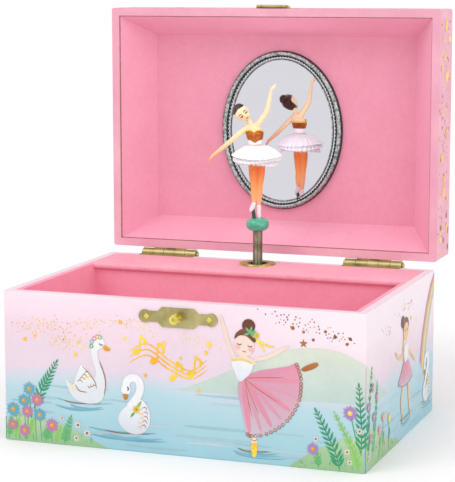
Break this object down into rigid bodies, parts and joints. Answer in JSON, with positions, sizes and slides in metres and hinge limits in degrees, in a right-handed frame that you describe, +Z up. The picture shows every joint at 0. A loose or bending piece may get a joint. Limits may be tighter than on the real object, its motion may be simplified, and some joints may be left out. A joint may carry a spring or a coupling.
{
  "type": "ballerina jewellery box",
  "caption": "Lidded rectangular jewellery box with a hinged mirror lid, a padded tray, a front hasp and a small dancer on a spring that a wind-up musical movement turns.",
  "frame": {"origin": "centre of the underside of the base, on the surface that the box stands on", "axes": "+X to the right as seen from the front, +Y to the rear where the lid is hinged, +Z up"},
  "size_m": [0.152, 0.1389, 0.1747],
  "materials": {
    "printed_paper": "printed pink, lilac and blue picture, satin varnish",
    "board": "fibreboard",
    "flock": "pink flock on padded card",
    "card": "pink flocked card",
    "pale_brass": "pale brass plate, slightly dull",
    "bright_brass": "polished brass",
    "steel": "plain steel",
    "spring_steel": "bright spring wire",
    "movement_plate": "zinc-coloured bedplate",
    "mirror_frame": "stamped silver-coloured frame",
    "mirror": "silvered glass",
    "bead": "turquoise",
    "doll": "painted",
    "tutu": "white nylon",
    "fan": "white"
  },
  "bodies": {
    "case": {"base_board": "board", "front_wall": "board", "rear_wall": "board", "left_wall": "board", "right_wall": "board", "body_print_wrap": "printed_paper", "tray_liner": "flock", "tray_floor_card": "card", "compartment_partition": "flock", "compartment_cover": "flock", "escutcheon_ring": "bright_brass", "left_hinge_body_leaf": "pale_brass", "right_hinge_body_leaf": "pale_brass", "hinge_pins": "pale_brass", "case_nails": "bright_brass", "latch_plate": "pale_brass", "latch_stud": "bright_brass", "movement_bedplate": "movement_plate", "movement_screws": "steel", "spring_housing": "movement_plate", "mainspring": "spring_steel", "comb": "steel", "comb_base": "movement_plate", "comb_screws": "steel", "governor_frame": "steel", "spindle_bracket": "steel"},
    "lid": {"lid_top_board": "board", "lid_front_wall": "board", "lid_rear_wall": "board", "lid_left_wall": "board", "lid_right_wall": "board", "lid_print_wrap": "printed_paper", "lid_liner_panel": "flock", "lid_liner_frame": "flock", "mirror_frame": "mirror_frame", "mirror_glass": "mirror", "left_hinge_lid_leaf": "pale_brass", "right_hinge_lid_leaf": "pale_brass", "lid_nails": "bright_brass", "hasp_plate": "pale_brass", "hasp_pin": "pale_brass"},
    "hasp": {"hasp_tongue": "pale_brass"},
    "key": {"key_arbor": "steel", "drive_wheel": "bright_brass", "winding_key": "steel"},
    "cylinder": {"note_cylinder": "bright_brass", "cylinder_arbor": "steel", "cylinder_wheel": "bright_brass", "spindle_drive_wheel": "bright_brass"},
    "governor": {"governor_wheel": "bright_brass"},
    "fan": {"fan_shaft": "steel", "fan_blades": "fan"},
    "spindle": {"spindle_shaft": "steel", "spindle_gear": "bright_brass"},
    "spring": {"pop_up_spring": "spring_steel"},
    "dancer": {"dancer_base": "bead", "dancer_figure": "doll", "dancer_tutu": "tutu"},
    "stop_wire": {"stop_wire": "steel"},
    "stop_lever": {"stop_lever": "steel"}
  },
  "joints": [
    {"name": "lid_hinge", "type": "hinge", "parent": "case", "child": "lid", "pos_m": [0, 0.05675, 0.0621], "axis": [1, 0, 0], "range_deg": [0, 90]},
    {"name": "hasp_swing", "type": "hinge", "parent": "lid", "child": "hasp", "pos_m": [0, 0.0587, 0.174], "axis": [1, 0, 0], "range_deg": [0, 180]},
    {"name": "key_turn", "type": "hinge", "parent": "case", "child": "key", "pos_m": [0.04075, 0.05425, 0.028], "axis": [0, 1, 0], "continuous": true, "deforming": ["mainspring"]},
    {"name": "cylinder_turn", "type": "hinge", "parent": "case", "child": "cylinder", "pos_m": [0.0176, 0.043, 0.028], "axis": [1, 0, 0], "continuous": true},
    {"name": "governor_turn", "type": "hinge", "parent": "case", "child": "governor", "pos_m": [-0.008, 0.043, 0.035], "axis": [1, 0, 0], "continuous": true},
    {"name": "fan_turn", "type": "hinge", "parent": "case", "child": "fan", "pos_m": [-0.0148, 0.043, 0.042], "axis": [1, 0, 0], "continuous": true},
    {"name": "spindle_turn", "type": "hinge", "parent": "case", "child": "spindle", "pos_m": [-0.001, 0.043, 0.04], "axis": [0, 0, 1], "continuous": true},
    {"name": "dancer_fold", "type": "hinge", "parent": "case", "child": "spring", "pos_m": [-0.001, 0.043, 0.06925], "axis": [1, 0, 0], "range_deg": [0, 97.3], "deforming": ["pop_up_spring"]},
    {"name": "dancer_turn", "type": "hinge", "parent": "spring", "child": "dancer", "pos_m": [-0.001, 0.043, 0.07945], "axis": [0, 0, 1], "continuous": true},
    {"name": "stop_wire_slide", "type": "slide", "parent": "case", "child": "stop_wire", "axis": [0, 0, -1], "range_m": [0, 0.00251]},
    {"name": "stop_lever_swing", "type": "hinge", "parent": "case", "child": "stop_lever", "pos_m": [0.006, 0.0462, 0.051], "axis": [0, -1, 0], "range_deg": [0, 19.1]}
  ],
  "couplings": [
    {"joint": "dancer_fold", "follows": "lid_hinge", "ratio": 1.08},
    {"joint": "stop_wire_slide", "follows": "lid_hinge", "m_per_rad": 0.0015915},
    {"joint": "stop_lever_swing", "follows": "lid_hinge", "ratio": 0.21111},
    {"joint": "cylinder_turn", "follows": "key_turn", "ratio": -4},
    {"joint": "governor_turn", "follows": "key_turn", "ratio": 16},
    {"joint": "fan_turn", "follows": "key_turn", "ratio": -48},
    {"joint": "spindle_turn", "follows": "key_turn", "ratio": 4},
    {"joint": "dancer_turn", "follows": "key_turn", "ratio": 4}
  ]
}
